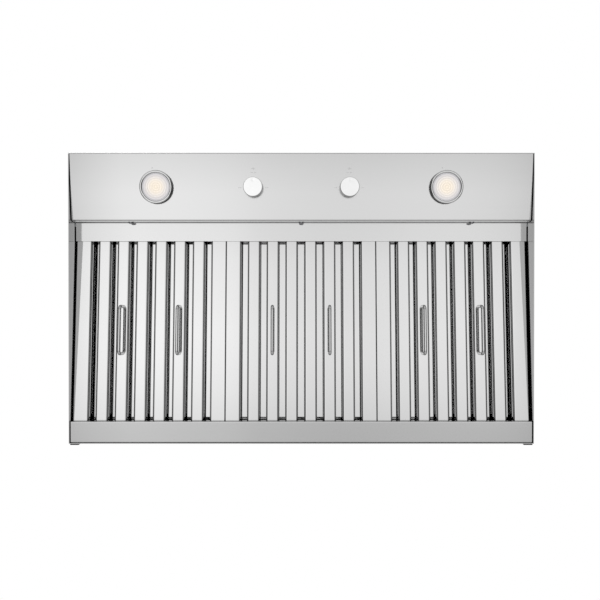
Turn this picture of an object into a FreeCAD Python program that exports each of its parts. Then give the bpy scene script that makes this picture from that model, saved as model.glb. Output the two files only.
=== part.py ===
import FreeCAD, Part
import math
import operator
import os
import Sketcher

os.makedirs("parts", exist_ok=True)

# A range hood insert, in millimetres. +Z is up as installed, the front faces -Y and the width lies along X.
# The hood's lower edge, its rim, is the level that the heights below are measured from. The knobs reach
# lower than the rim, so every piece is lifted until the faces of the knobs lie at Z = 0.
SIZES = {
    # shell
    "hood_width": 880.0,
    "hood_depth": 549.5,
    "pan_height": 130.0,
    "shell_sheet": 1.2,
    "shell_flange": 15.0,
    "bend_radius": 2.0,
    "side_gap": 1.6,
    "rear_flange_foot": 32.0,
    "foot_width": 16.0,
    "foot_height": 16.0,
    "foot_proud": 2.5,
    # control panel and the box above it
    "panel_depth": 125.9,
    "panel_rise": 9.0,
    "panel_lip": 14.0,
    "panel_side_lip": 10.0,
    "box_height": 85.0,
    "box_flange": 8.0,
    # filter rails
    "rail_depth": 163.4,
    "rail_height": 26.6,
    "rail_leg_foot": 14.0,
    "rail_hem": 8.0,
    "trough_depth": 40.6,
    "trough_height": 2.0,
    "trough_lip_height": 9.5,
    "trough_back_height": 25.0,
    "trough_end_height": 6.0,
    "rail_screw_inset": 112.0,
    "rail_screw_rise": 5.4,
    # baffle filters
    "filter_count": 3,
    "filter_gap": 0.65,
    "filter_left_gap": 2.0,
    "filter_right_gap": 3.0,
    "filter_seat": 0.35,
    "filter_overlap": 12.0,
    "filter_height": 19.0,
    "filter_sheet": 0.8,
    "filter_end_lip": 10.0,
    "filter_top_lip": 12.0,
    "frame_bend": 1.4,
    "slot_width": 12.0,
    "slot_count": 7,
    "slot_end": 15.0,
    "slot_end_gap": 0.1,
    "baffle_width": 24.65,
    "baffle_wall": 7.4,
    "baffle_bend": 4.3,
    "upper_width": 25.0,
    "upper_wall": 13.7,
    "upper_bend": 2.4,
    "handle_wire": 6.0,
    "handle_length": 97.0,
    "handle_height": 16.3,
    "handle_bend": 7.0,
    # lamps
    "lamp_inset": 165.75,
    "lamp_depth": 63.8,
    "bezel_diameter": 62.2,
    "bezel_proud": 6.5,
    "bezel_round": 2.0,
    "lens_diameter": 54.4,
    "lens_thickness": 2.2,
    "lens_setback": 1.4,
    "lamp_wall": 1.0,
    "lamp_neck": 8.0,
    "lamp_body_height": 28.0,
    "lamp_fin": 4.0,
    "clip_reach": 44.0,
    "clip_width": 9.0,
    "clip_sheet": 0.6,
    # knobs and rotary switches
    "knob_spacing": 181.5,
    "knob_depth": 64.5,
    "knob_diameter": 36.0,
    "knob_height": 13.5,
    "knob_gap": 0.8,
    "knob_edge": 1.0,
    "knob_recess": 24.0,
    "knob_recess_depth": 6.0,
    "index_radius": 1.9,
    "index_offset": 12.2,
    "shaft_diameter": 6.0,
    "shaft_end": 2.3,
    "running_gap": 0.05,
    "switch_side": 30.0,
    "switch_height": 21.0,
    "bushing_diameter": 9.6,
    "bushing_reach": 5.0,
    "nut_flats": 14.0,
    "nut_height": 2.5,
    # blower box and duct collar
    "blower_box_width": 420.0,
    "blower_box_depth": 320.0,
    "blower_box_y": 12.0,
    "body_height": 296.0,
    "box_sheet": 1.0,
    "box_foot": 20.0,
    "deck_ledge": 9.0,
    "collar_diameter": 198.0,
    "collar_height": 44.0,
    "collar_flange": 20.0,
    "collar_stop": 6.0,
    "collar_bead": 2.0,
    "collar_bead_height": 12.0,
    # damper
    "pin_diameter": 3.0,
    "pin_offset": 4.0,
    "pin_height": 4.2,
    "knuckle_diameter": 5.0,
    "flap_clearance": 1.5,
    # blower
    "scroll_width": 150.0,
    "scroll_sheet": 0.8,
    "scroll_radius": 99.0,
    "scroll_growth": 8.0,
    "tongue_radius": 8.0,
    "tongue_offset": 10.0,
    "mouth_height": 13.0,
    "mouth_flange": 14.0,
    "mouth_collar": 4.5,
    "wheel_offset": 8.0,
    "wheel_diameter": 170.0,
    "wheel_width": 132.0,
    "blade_count": 36,
    "blade_depth": 16.0,
    "blade_sheet": 0.9,
    "blade_lead": 7.0,
    "wheel_ring": 3.5,
    "wheel_ring_width": 5.0,
    "wheel_plate": 1.5,
    "hub_diameter": 26.0,
    "hub_length": 28.0,
    "motor_diameter": 90.0,
    "motor_length": 76.0,
    "motor_gap": 6.0,
    "motor_shaft": 8.0,
    "inlet_diameter": 126.0,
    "inlet_curve": 7.0,
    "inlet_flange": 9.0,
    "bracket_sheet": 1.5,
    "bracket_arm": 12.0,
    "bracket_band": 10.0,
    "bracket_foot": 12.0,
    "capacitor_diameter": 35.0,
    "capacitor_height": 62.0,
    # mains connection and electrics
    "junction_width": 100.0,
    "junction_depth": 70.0,
    "junction_height": 48.0,
    "junction_inset": 110.0,
    "junction_back": 83.5,
    "cover_lip": 8.0,
    "inlet_hole": 22.0,
    "wire_hole": 20.0,
    "cable_diameter": 9.0,
    "cable_bend": 18.0,
    "cable_exit": 62.0,
    "cable_tail": 24.0,
    "driver_width": 120.0,
    "driver_depth": 42.0,
    "driver_height": 26.0,
    # fixing holes and screws
    "side_hole": 7.0,
    "side_hole_spacing": 300.0,
    "side_hole_y": 50.0,
    "side_hole_height": 95.0,
    "deck_hole": 9.0,
    "deck_hole_inset_x": 40.0,
    "deck_hole_inset_y": 39.75,
    "screw_shank": 4.0,
    "screw_head": 10.0,
    "screw_head_height": 3.6,
    "screw_length": 8.0,
    "screw_clearance": 0.1,
}

V = FreeCAD.Vector
X_AXIS = V(1, 0, 0)
Y_AXIS = V(0, 1, 0)
Z_AXIS = V(0, 0, 1)
doc = FreeCAD.newDocument("range_hood_insert")
nodes = {}


# ---------------------------------------------------------------- sizes and expressions

class Size:
    """A number together with the sheet expression that gives it."""

    def __init__(self, value, text):
        self.value = float(value)
        self.text = text

    def __add__(self, other):
        return joined(self, other, "+", operator.add)

    def __radd__(self, other):
        return joined(other, self, "+", operator.add)

    def __sub__(self, other):
        return joined(self, other, "-", operator.sub)

    def __rsub__(self, other):
        return joined(other, self, "-", operator.sub)

    def __mul__(self, other):
        return joined(self, other, "*", operator.mul)

    def __rmul__(self, other):
        return joined(other, self, "*", operator.mul)

    def __truediv__(self, other):
        return joined(self, other, "/", operator.truediv)

    def __neg__(self):
        return Size(-self.value, "(-1 * %s)" % self.text)


def number(item):
    return item.value if isinstance(item, Size) else float(item)


def wording(item):
    return item.text if isinstance(item, Size) else "%.9g" % item


def joined(left, right, sign, rule):
    return Size(rule(number(left), number(right)), "(%s %s %s)" % (wording(left), sign, wording(right)))


def slope(rise, run):
    ratio = rise / run
    return Size(math.degrees(math.atan(ratio.value)), "atan(%s)" % ratio.text)


def cosine(angle):
    return Size(math.cos(math.radians(angle.value)), "cos(%s)" % angle.text)


def sine(angle):
    return Size(math.sin(math.radians(angle.value)), "sin(%s)" % angle.text)


def write_sheet():
    sheet = doc.addObject("Spreadsheet::Sheet", "Sizes")
    for row, (alias, value) in enumerate(SIZES.items(), start=1):
        sheet.set("A%d" % row, alias)
        sheet.set("B%d" % row, str(value))
        sheet.setAlias("B%d" % row, alias)
    doc.recompute()


def size(alias):
    return Size(SIZES[alias], "Sizes." + alias)


def bind(item, prop, value):
    """Sets a property from a size, and binds it to the sheet."""
    if isinstance(value, Size):
        item.setExpression(prop, value.text)
    elif prop in item.PropertiesList:
        setattr(item, prop, value)


def place(item, at=(0, 0, 0), axis=None, angle=0):
    turn = FreeCAD.Rotation(axis or Z_AXIS, number(angle))
    item.Placement = FreeCAD.Placement(V(*[number(c) for c in at]), turn)
    for letter, value in zip("xyz", at):
        bind(item, "Placement.Base." + letter, value)
    bind(item, "Placement.Rotation.Angle", angle)
    return item


def node(label, item, at=(0, 0, 0), axis=None, angle=0):
    """Names a finished piece and lifts it from the rim's level to the frame's."""
    x, y, z = at
    place(item, (x, y, RIM + z), axis, angle)
    item.Label = label
    nodes[label] = item
    return item


# ---------------------------------------------------------------- building blocks

def box(spans, at=(0, 0, 0)):
    """A block with the given extents along X, Y and Z from its low corner."""
    item = doc.addObject("Part::Box", "Block")
    for prop, value in zip(("Length", "Width", "Height"), spans):
        bind(item, prop, value)
    return place(item, at)


def rod(radius, height, at=(0, 0, 0), axis=None, angle=0):
    item = doc.addObject("Part::Cylinder", "Rod")
    bind(item, "Radius", radius)
    bind(item, "Height", height)
    return place(item, at, axis, angle)


def rod_x(radius, length, at):
    return rod(radius, length, at, Y_AXIS, 90)


def rod_y(radius, length, at):
    return rod(radius, length, at, X_AXIS, -90)


def fused(*items):
    item = doc.addObject("Part::MultiFuse", "Joined")
    item.Shapes = list(items)
    item.Refine = True
    return item


def grouped(*items):
    item = doc.addObject("Part::Compound", "Group")
    item.Links = list(items)
    return item


def cut(base, *tools):
    item = doc.addObject("Part::Cut", "Cut")
    item.Base = base
    item.Tool = tools[0] if len(tools) == 1 else grouped(*tools)
    item.Refine = True
    return item


def common(base, tool):
    item = doc.addObject("Part::Common", "Common")
    item.Base = base
    item.Tool = tool
    return item


def new_body():
    return doc.addObject("PartDesign::Body", "Body")


def origin_part(body, role):
    return [item for item in body.Origin.OriginFeatures if item.Role == role][0]


def new_sketch(body, plane):
    sketch = body.newObject("Sketcher::SketchObject", "Profile")
    sketch.AttachmentSupport = [(origin_part(body, plane + "_Plane"), "")]
    sketch.MapMode = "FlatFace"
    return sketch


def outline(sketch, points):
    """A closed outline of straight sides, each corner held by two dimensions bound to the sheet."""
    start = sketch.GeometryCount
    corners = [V(number(u), number(v), 0) for u, v in points]
    count = len(corners)
    for side in range(count):
        sketch.addGeometry(Part.LineSegment(corners[side], corners[(side + 1) % count]))
    for side in range(count):
        following = start + (side + 1) % count
        sketch.addConstraint(Sketcher.Constraint("Coincident", start + side, 2, following, 1))
    for side, point in enumerate(points):
        for kind, value in zip(("DistanceX", "DistanceY"), point):
            index = sketch.addConstraint(Sketcher.Constraint(kind, -1, 1, start + side, 1, number(value)))
            bind(sketch, "Constraints[%d]" % index, value)


def ring(sketch, radius, centre=(0, 0)):
    """A circle whose radius and centre are bound to the sheet."""
    middle = V(number(centre[0]), number(centre[1]), 0)
    index = sketch.addGeometry(Part.Circle(middle, Z_AXIS, number(radius)))
    rule = sketch.addConstraint(Sketcher.Constraint("Radius", index, number(radius)))
    bind(sketch, "Constraints[%d]" % rule, radius)
    for kind, value in zip(("DistanceX", "DistanceY"), centre):
        rule = sketch.addConstraint(Sketcher.Constraint(kind, -1, 1, index, 3, number(value)))
        bind(sketch, "Constraints[%d]" % rule, value)


def padded(body, sketch, length, both_ways=False):
    pad = body.newObject("PartDesign::Pad", "Pad")
    pad.Profile = sketch
    if both_ways:
        pad.SideType = "Symmetric"
    bind(pad, "Length", length)
    return pad


def sheet_point(plane, point):
    """The place on a sketch's plane of a point in the body's space."""
    return {"YZ": (point.y, point.z), "XZ": (point.x, point.z), "XY": (point.x, point.y)}[plane]


def corner_edges(shape, plane, corner):
    """Names of the straight edges that stand on the given corner of a padded outline."""
    wanted = (number(corner[0]), number(corner[1]))
    names = []
    for index, edge in enumerate(shape.Edges, start=1):
        ends = [sheet_point(plane, vertex.Point) for vertex in edge.Vertexes]
        if len(ends) == 2 and all(math.dist(end, wanted) < 1e-4 for end in ends):
            names.append("Edge%d" % index)
    return names


def rounded(body, base, names, radius):
    fillet = body.newObject("PartDesign::Fillet", "Fillet")
    fillet.Base = (base, names)
    bind(fillet, "Radius", radius)
    doc.recompute()
    return fillet


def folded(plane, points, length, bends=()):
    """A bent sheet: its section is padded along X (YZ plane) or along Y (XZ plane), centred on zero.

    bends holds pairs of a radius and the corners, by their place in the list, that get it.
    """
    body = new_body()
    sketch = new_sketch(body, plane)
    outline(sketch, points)
    feature = padded(body, sketch, length, both_ways=True)
    doc.recompute()
    for radius, corners in bends:
        names = []
        for corner in corners:
            names += corner_edges(feature.Shape, plane, points[corner])
        feature = rounded(body, feature, names, radius)
    return body


def turned(points):
    """A piece turned about Z from (radius, height) points."""
    body = new_body()
    sketch = new_sketch(body, "XZ")
    outline(sketch, points)
    item = body.newObject("PartDesign::Revolution", "Revolution")
    item.Profile = sketch
    item.ReferenceAxis = (sketch, ["V_Axis"])
    item.Angle = 360
    return body


def screw(head_radius=None):
    """A pan-head screw that points down -Z, with the underside of its head at zero."""
    radius = head_radius or size("screw_head") / 2
    shank = size("screw_shank") / 2
    height = size("screw_head_height")
    reach = size("screw_length")
    return turned([(0, -reach), (shank, -reach), (shank, 0), (radius, 0), (radius, height * 0.45),
                   (radius * 0.6, height), (0, height)])


def screws(places, axis=None, angle=0):
    """A group of screws that stand at the given places, all turned alike."""
    return grouped(*[place(screw(), at, axis, angle) for at in places])


def screw_holes(places):
    """Cutting rods for upright screws: each reaches a screw's length above and below its place."""
    radius = size("screw_shank") / 2 + size("screw_clearance")
    reach = size("screw_length") / 2
    return [rod(radius, 2 * reach, (x, y, z - reach)) for x, y, z in places]


# ---------------------------------------------------------------- levels that pieces share

write_sheet()
SHEET = size("shell_sheet")
HALF = size("hood_width") / 2
FRONT = -(size("hood_depth") + size("foot_proud")) / 2
REAR = FRONT + size("hood_depth")
INSIDE = size("hood_width") - 2 * SHEET
DECK = size("pan_height")
DECK_TOP = DECK + SHEET
LAMP_X = HALF - size("lamp_inset")
JUNCTION_X = HALF - size("junction_inset")
JUNCTION_Y = REAR - size("junction_back")
TROUGH_FRONT = size("hood_depth") - SHEET - size("trough_depth")
BEND = size("bend_radius")

# the control panel's slope, and the height of its lower face at a depth behind the front
PANEL_LENGTH = size("panel_depth") - SHEET
PANEL_ANGLE = slope(size("panel_rise"), PANEL_LENGTH)


def panel_level(depth):
    return size("panel_rise") * (depth - SHEET) / PANEL_LENGTH


KNOB_DROP = ((size("knob_height") + size("knob_gap")) * cosine(PANEL_ANGLE)
             + (size("knob_diameter") / 2 - size("knob_edge")) * sine(PANEL_ANGLE))
RIM = KNOB_DROP - panel_level(size("knob_depth"))

# the filters lie on the front rail's hem and on the lip of the grease trough
RAIL_TOP = size("rail_height") + 2 * SHEET
FILTER_RUN = TROUGH_FRONT - size("rail_depth")
FILTER_FRONT_Z = RAIL_TOP + size("filter_seat")
FILTER_FALL = FILTER_FRONT_Z - size("trough_lip_height") - size("filter_seat")
FILTER_ANGLE = slope(FILTER_FALL, FILTER_RUN)
FILTER_LENGTH = FILTER_RUN + 2 * size("filter_overlap")
FILTER_ROOM = INSIDE - size("filter_left_gap") - size("filter_right_gap")
FILTER_WIDTH = (FILTER_ROOM - (size("filter_count") - 1) * size("filter_gap")) / size("filter_count")
SLOT_PITCH = size("slot_width") + size("baffle_width")

BOX_Y = size("blower_box_y")
BODY_TOP = size("body_height")
BOX_SHEET = size("box_sheet")
MOUTH_TOP = BODY_TOP - BOX_SHEET
SCROLL_SHEET = size("scroll_sheet")
SCROLL_STEP = size("scroll_growth")
SCROLL_TOP = size("scroll_radius") - SCROLL_STEP / 2
SCROLL_BACK = size("scroll_radius") + 2.5 * SCROLL_STEP
WHEEL_Y = BOX_Y - size("wheel_offset")
WHEEL_Z = MOUTH_TOP - size("mouth_height") - SCROLL_TOP
COLLAR_Y = WHEEL_Y + (size("tongue_offset") + SCROLL_BACK) / 2


# ---------------------------------------------------------------- shell

def shell_edge(height, near, inward):
    """Section of a wall with its top flange: near is the outer face, inward is 1 or -1."""
    face = near + inward * SHEET
    tip = near + inward * size("shell_flange")
    return [(near, 0), (near, height), (tip, height), (tip, height - SHEET), (face, height - SHEET),
            (face, 0)]


def side_wall(label, side):
    """A side wall: web and top flange in one sheet, with short front and rear flanges, and two fixing holes."""
    length = size("hood_depth") - 2 * SHEET
    web = folded("XZ", shell_edge(DECK, side * HALF, -side), length, [(BEND, [1]), (BEND - SHEET, [4])])
    middle = (FRONT + REAR) / 2
    place(web, (0, middle, 0))
    reach = size("shell_flange") - SHEET
    left_edge = -HALF + SHEET if side < 0 else HALF - SHEET - reach
    front_foot = size("box_height") + size("side_gap")
    front = box((reach, SHEET, DECK - SHEET - front_foot), (left_edge, FRONT + SHEET, front_foot))
    rear_foot = size("rear_flange_foot")
    rear = box((reach, SHEET, DECK - SHEET - rear_foot), (left_edge, REAR - 2 * SHEET, rear_foot))
    holes = []
    for step in (-1, 1):
        along = size("side_hole_y") + step * size("side_hole_spacing") / 2
        start = side * HALF - SHEET * 2
        holes.append(rod_x(size("side_hole") / 2, SHEET * 4, (start, along, size("side_hole_height"))))
    node(label, cut(fused(web, front, rear), *holes))


def end_wall(label, near, inward):
    """The front or rear wall, with its top flange notched for the flanges of the side walls."""
    points = shell_edge(DECK, near, inward)
    wall = folded("YZ", points, size("hood_width"), [(BEND, [1]), (BEND - SHEET, [4])])
    wide = size("shell_flange") + size("side_gap")
    deep = size("shell_flange")
    start = near + SHEET if inward > 0 else near - SHEET - deep
    notches = []
    for x in (-HALF, HALF - wide):
        notches.append(box((wide, deep, 2 * BEND), (x, start, DECK - SHEET - BEND)))
    node(label, cut(wall, *notches))


def top_deck():
    """The pan's top, open under the blower box, with the hanging holes and the hole for the wires."""
    plate = box((size("hood_width"), size("hood_depth"), SHEET), (-HALF, FRONT, DECK))
    ledge = size("deck_ledge")
    wide = size("blower_box_width") - 2 * BOX_SHEET - 2 * ledge
    deep = size("blower_box_depth") - 2 * BOX_SHEET - 2 * ledge
    below = DECK - SHEET
    opening = box((wide, deep, 3 * SHEET), (-wide / 2, BOX_Y - deep / 2, below))
    holes = [opening]
    for x in (-1, 1):
        for y in (-1, 1):
            at = (x * (HALF - size("deck_hole_inset_x")),
                  (FRONT + REAR) / 2 + y * (size("hood_depth") / 2 - size("deck_hole_inset_y")), below)
            holes.append(rod(size("deck_hole") / 2, 3 * SHEET, at))
    holes.append(rod(size("wire_hole") / 2, 3 * SHEET, (JUNCTION_X, JUNCTION_Y, below)))
    node("top_deck", cut(plate, *holes, *screw_holes(box_foot_places())))


def corner_feet():
    """Two rubber pads on the rear wall's lower corners, which hold the hood off the wall behind it."""
    wide = size("foot_width")
    tall = size("foot_height")
    inset = SHEET + 1
    spans = (wide, size("foot_proud"), tall)
    left = box(spans, (-HALF + inset, REAR, 1))
    right = box(spans, (HALF - inset - wide, REAR, 1))
    node("rear_corner_pads", grouped(left, right))


# ---------------------------------------------------------------- control panel and its box

def on_panel(item, x, depth):
    """Puts a cutting tool that was made on the panel's own axes onto the sloping panel."""
    return place(item, (x, FRONT + depth, panel_level(depth)), X_AXIS, PANEL_ANGLE)


def panel_node(label, item, x, depth):
    node(label, item, (x, FRONT + depth, panel_level(depth)), X_AXIS, PANEL_ANGLE)


def panel_section(lower, upper):
    """Section of a strip that follows the panel's slope between two heights above its lower face."""
    start = FRONT + SHEET
    end = FRONT + size("panel_depth")
    rise = size("panel_rise")
    return [(start, lower), (end, rise + lower), (end, rise + upper), (start, upper)]


def control_panel():
    """The sloping panel: front and rear edges turned up, ends turned up, holes for lamps and switches."""
    start = FRONT + SHEET
    end = FRONT + size("panel_depth")
    rise = size("panel_rise")
    lip = size("panel_lip")
    step = SHEET * rise / PANEL_LENGTH
    points = [(start, 0), (end, rise), (end, rise + lip), (end - SHEET, rise + lip),
              (end - SHEET, rise + SHEET - step), (start + SHEET, SHEET + step), (start + SHEET, lip),
              (start, lip)]
    wide = INSIDE - 2 * size("side_gap")
    sheet = folded("YZ", points, wide, [(BEND, [1])])
    ends = []
    for side in (-1, 1):
        end_lip = folded("YZ", panel_section(SHEET / 2, size("panel_side_lip")), SHEET)
        ends.append(place(end_lip, (side * (wide - SHEET) / 2, 0, 0)))
    reach = 4 * BEND
    holes = []
    for side in (-1, 1):
        lamp = rod(size("lens_diameter") / 2 + size("lamp_wall") + 0.4, 2 * reach, (0, 0, -reach))
        holes.append(on_panel(grouped(lamp), side * LAMP_X, size("lamp_depth")))
        bush = rod(size("bushing_diameter") / 2 + 0.2, 2 * reach, (0, 0, -reach))
        holes.append(on_panel(grouped(bush), side * size("knob_spacing") / 2, size("knob_depth")))
    level = screw_level()
    hole = size("screw_shank") / 2 + size("screw_clearance")
    for x in screw_line():
        holes.append(rod_y(hole, 4 * SHEET, (x, end - 3 * SHEET, level)))
    node("control_panel", cut(fused(sheet, *ends), *holes))


def control_box_cover():
    """The cover over the lamps and switches, bent down at the front and the rear, with the cable's hole."""
    start = FRONT + SHEET
    back = FRONT + size("panel_depth") + SHEET
    top = size("box_height")
    foot = size("rail_height") + SHEET
    reach = size("box_flange")
    points = [(start, top - size("shell_flange")), (start, top), (back, top), (back, foot + SHEET),
              (back + reach, foot + SHEET), (back + reach, foot), (back - SHEET, foot),
              (back - SHEET, top - SHEET), (start + SHEET, top - SHEET),
              (start + SHEET, top - size("shell_flange"))]
    cover = folded("YZ", points, INSIDE, [(BEND, [1, 2])])
    radius = size("cable_diameter") / 2 + size("side_gap")
    way = rod_y(radius, 4 * SHEET, (JUNCTION_X, back - 3 * SHEET, size("cable_exit")))
    node("control_box_cover", cut(cover, way))


def front_filter_rail():
    """The rail behind the panel: an upright leg, the strip under the filters and its hemmed edge."""
    leg = FRONT + size("panel_depth")
    end = FRONT + size("rail_depth")
    low = size("rail_height")
    foot = size("rail_leg_foot")
    hem = end - size("rail_hem")
    points = [(leg, foot), (leg + SHEET, foot), (leg + SHEET, low), (end, low), (end, RAIL_TOP),
              (hem, RAIL_TOP), (hem, low + SHEET), (leg, low + SHEET)]
    wide = INSIDE - 2 * size("side_gap")
    rail = folded("YZ", points, wide, [(BEND, [2]), (BEND + SHEET, [7])])
    holes = []
    hole = size("screw_shank") / 2 + size("screw_clearance")
    for x in screw_line():
        holes.append(rod_y(hole, 4 * SHEET, (x, leg - SHEET, screw_level())))
    node("front_filter_rail", cut(rail, *holes))


def screw_line():
    return [step * (HALF - size("rail_screw_inset")) for step in (-1, 0, 1)]


def screw_level():
    return size("rail_leg_foot") + size("rail_screw_rise")


def rail_screws():
    face = FRONT + size("panel_depth") + SHEET
    places = [(x, face, screw_level()) for x in screw_line()]
    node("rail_screws", screws(places, X_AXIS, -90))


def grease_trough():
    """The trough along the rear: the filters lie on its front lip, and its back is fixed to the rear wall."""
    front = FRONT + TROUGH_FRONT
    back = REAR - SHEET
    low = size("trough_height")
    points = [(front, low), (back, low), (back, size("trough_back_height")),
              (back - SHEET, size("trough_back_height")), (back - SHEET, low + SHEET),
              (front + SHEET, low + SHEET), (front + SHEET, size("trough_lip_height")),
              (front, size("trough_lip_height"))]
    wide = INSIDE - 2 * size("side_gap")
    parts = [folded("YZ", points, wide, [(BEND, [0, 1])])]
    for side in (-1, 1):
        inner = side * (wide - SHEET) / 2 - SHEET / 2
        spans = (SHEET, back - front - 2 * SHEET, size("trough_end_height"))
        parts.append(box(spans, (inner, front + SHEET, low + SHEET)))
    node("grease_trough", fused(*parts))


# ---------------------------------------------------------------- lamps, knobs and switches

def lamp(side_name, side):
    """A lamp: trim ring, lens and finned housing, all turned."""
    x = side * LAMP_X
    depth = size("lamp_depth")
    lens = size("lens_diameter") / 2
    wall = size("lamp_wall")
    outer = size("bezel_diameter") / 2
    proud = size("bezel_proud")
    neck = size("lamp_neck")
    back = size("lens_setback")
    gap = size("running_gap")
    edge = size("bezel_round")
    ring_points = [(lens - 0.6, -back), (lens - 0.6, edge / 2 - proud), (lens + edge / 4, -proud),
                   (outer - edge, -proud), (outer - edge * 0.3, edge * 0.3 - proud), (outer, edge - proud),
                   (outer, 0), (lens + wall, 0), (lens + wall, neck), (lens, neck), (lens, -back)]
    panel_node(side_name + "_lamp_bezel", turned(ring_points), x, depth)
    top = size("lens_thickness") - back
    lens_points = [(0, -back + gap), (lens - gap, -back + gap), (lens - gap, top), (0, top)]
    panel_node(side_name + "_lamp_lens", turned(lens_points), x, depth)
    panel_node(side_name + "_lamp_housing", turned(housing_points(lens, wall, neck)), x, depth)


def housing_points(lens, wall, neck):
    """Half section of a lamp housing: a plate that seats in the trim ring, and a stack of cooling fins."""
    outer = lens + wall
    inner = outer - size("lamp_fin")
    pitch = size("lamp_body_height") / 7
    points = [(0, neck - wall), (lens - wall, neck - wall), (lens - wall, neck)]
    for fin in range(4):
        low = neck + 2 * fin * pitch
        points += [(outer, low), (outer, low + pitch), (inner, low + pitch), (inner, low + 2 * pitch)]
    points = points[:-2]
    points.append((0, neck + size("lamp_body_height")))
    return points


def lamp_clips():
    """Leaf springs that press on the panel's upper face and hold the lamps in their holes."""
    clips = []
    thick = size("clip_sheet")
    start = size("lens_diameter") / 2 + size("lamp_wall")
    high = size("lamp_neck") + size("lamp_body_height") * 3 / 7
    reach = size("clip_reach")
    for lamp_side in (-1, 1):
        for side in (-1, 1):
            points = [(side * start, high), (side * (start + thick), high), (side * (reach - 6), 6 * SHEET),
                      (side * reach, SHEET), (side * (reach - thick * 2), SHEET),
                      (side * (reach - 6 - thick), 6 * SHEET - thick), (side * start, high - 4 * thick)]
            clip = folded("XZ", points, size("clip_width"))
            x = lamp_side * LAMP_X
            clips.append(on_panel(clip, x, size("lamp_depth")))
    node("lamp_spring_clips", grouped(*clips))


def knob_and_switch(name, side):
    """A round knob on its shaft, with the rotary switch behind the panel."""
    x = side * size("knob_spacing") / 2
    depth = size("knob_depth")
    outer = size("knob_diameter") / 2
    edge = size("knob_edge")
    base = -size("knob_gap")
    face = base - size("knob_height")
    recess = size("knob_recess") / 2
    shaft = size("shaft_diameter") / 2
    gap = size("running_gap")
    shelf = base - size("knob_recess_depth")
    floor = face + size("shaft_end")
    points = [(0, face), (outer - edge, face), (outer, face + edge), (outer, base), (recess, base),
              (recess, shelf), (shaft + gap, shelf), (shaft + gap, floor), (0, floor)]
    index = doc.addObject("Part::Sphere", "Index")
    bind(index, "Radius", size("index_radius"))
    place(index, (0, -size("index_offset"), face - size("index_radius") / 2))
    panel_node(name + "_knob", cut(turned(points), index), x, depth)

    top = SHEET + size("switch_height")
    panel_node(name + "_shaft", rod_piece(shaft, floor + gap, top - 3 * SHEET), x, depth)
    side_length = size("switch_side")
    case = box((side_length, side_length, size("switch_height")), (-side_length / 2, -side_length / 2, SHEET))
    bushing = rod(size("bushing_diameter") / 2, size("bushing_reach") + 2 * SHEET, (0, 0, -size("bushing_reach")))
    lugs = []
    for step in (-1, 0, 1):
        lugs.append(box((0.8, 5, 8), (step * side_length / 4 - 0.4, -2.5, top)))
    bore = rod(shaft + gap, top - 2 * SHEET + size("bushing_reach"), (0, 0, -size("bushing_reach")))
    panel_node(name + "_switch", cut(fused(case, bushing, *lugs), bore), x, depth)


def rod_piece(radius, low, high):
    return turned([(0, low), (radius, low), (radius, high), (0, high)])


def switch_nuts():
    """The hexagon nuts that hold the switches in the panel, hidden inside the knobs."""
    nuts = []
    across = size("nut_flats") / 2 / math.cos(math.radians(30))
    for side in (-1, 1):
        prism = doc.addObject("Part::Prism", "Hexagon")
        prism.Polygon = 6
        bind(prism, "Circumradius", across)
        bind(prism, "Height", size("nut_height"))
        place(prism, (0, 0, -size("nut_height")))
        bore = rod(size("bushing_diameter") / 2 + size("running_gap"), 3 * size("nut_height"),
                   (0, 0, -2 * size("nut_height")))
        nuts.append(on_panel(cut(prism, bore), side * size("knob_spacing") / 2, size("knob_depth")))
    node("switch_nuts", grouped(*nuts))


def led_driver():
    wide = size("driver_width")
    deep = size("driver_depth")
    tall = size("driver_height")
    top = size("box_height") - SHEET
    front = FRONT + size("panel_depth") / 2 - deep / 2
    case = box((wide, deep, tall), (-wide / 2, front, top - tall))
    ears = box((wide + 24, deep / 2, 2), (-wide / 2 - 12, front + deep / 4, top - 2))
    node("led_driver", fused(case, ears))


# ---------------------------------------------------------------- baffle filters

def bent_twice(plane, points, length, corners, radii):
    """A folded sheet whose two outer corners, and the inner corners beside them, have bends of two radii."""
    thick = size("filter_sheet")
    bends = []
    for (outer, inner), radius in zip(corners, radii):
        bends += [(radius, [outer]), (radius - thick, [inner])]
    return folded(plane, points, length, bends)


def side_member_points():
    """Section of a filter's side member: top flange, outer wall, broad lower face and its turned-up wall."""
    thick = size("filter_sheet")
    tall = size("filter_height")
    wall = size("baffle_wall")
    flat = end_flat()
    top = size("filter_top_lip")
    return [(0, 0), (flat, 0), (flat, wall), (flat - thick, wall), (flat - thick, thick), (thick, thick),
            (thick, tall - thick), (top, tall - thick), (top, tall), (0, tall)]


def end_flat():
    """Width of the lower face beside the first slot: what the slots and baffles leave of the filter."""
    slots = size("slot_count")
    taken = slots * size("slot_width") + (slots - 1) * size("baffle_width")
    return (FILTER_WIDTH - taken) / 2


def filter_frame():
    """The welded frame: two side members and two end channels, about the filter's low front left corner."""
    thick = size("filter_sheet")
    tall = size("filter_height")
    lip = size("filter_end_lip")
    corners = ((0, 5), (1, 4))
    radii = (size("frame_bend"), size("baffle_bend"))
    left = bent_twice("XZ", side_member_points(), FILTER_LENGTH, corners, radii)
    mirrored = [(FILTER_WIDTH - u, v) for u, v in side_member_points()]
    right = bent_twice("XZ", mirrored, FILTER_LENGTH, corners, radii)
    for member in (left, right):
        place(member, (0, FILTER_LENGTH / 2, 0))
    channel = [(0, 0), (lip, 0), (lip, thick), (thick, thick), (thick, tall - thick), (lip, tall - thick),
               (lip, tall), (0, tall)]
    front = folded("YZ", channel, FILTER_WIDTH - 2 * thick)
    far = [(FILTER_LENGTH - u, v) for u, v in channel]
    rear = folded("YZ", far, FILTER_WIDTH - 2 * thick)
    for member in (front, rear):
        place(member, (FILTER_WIDTH / 2, 0, 0))
    return fused(left, right, front, rear, *slot_ends())


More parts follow.
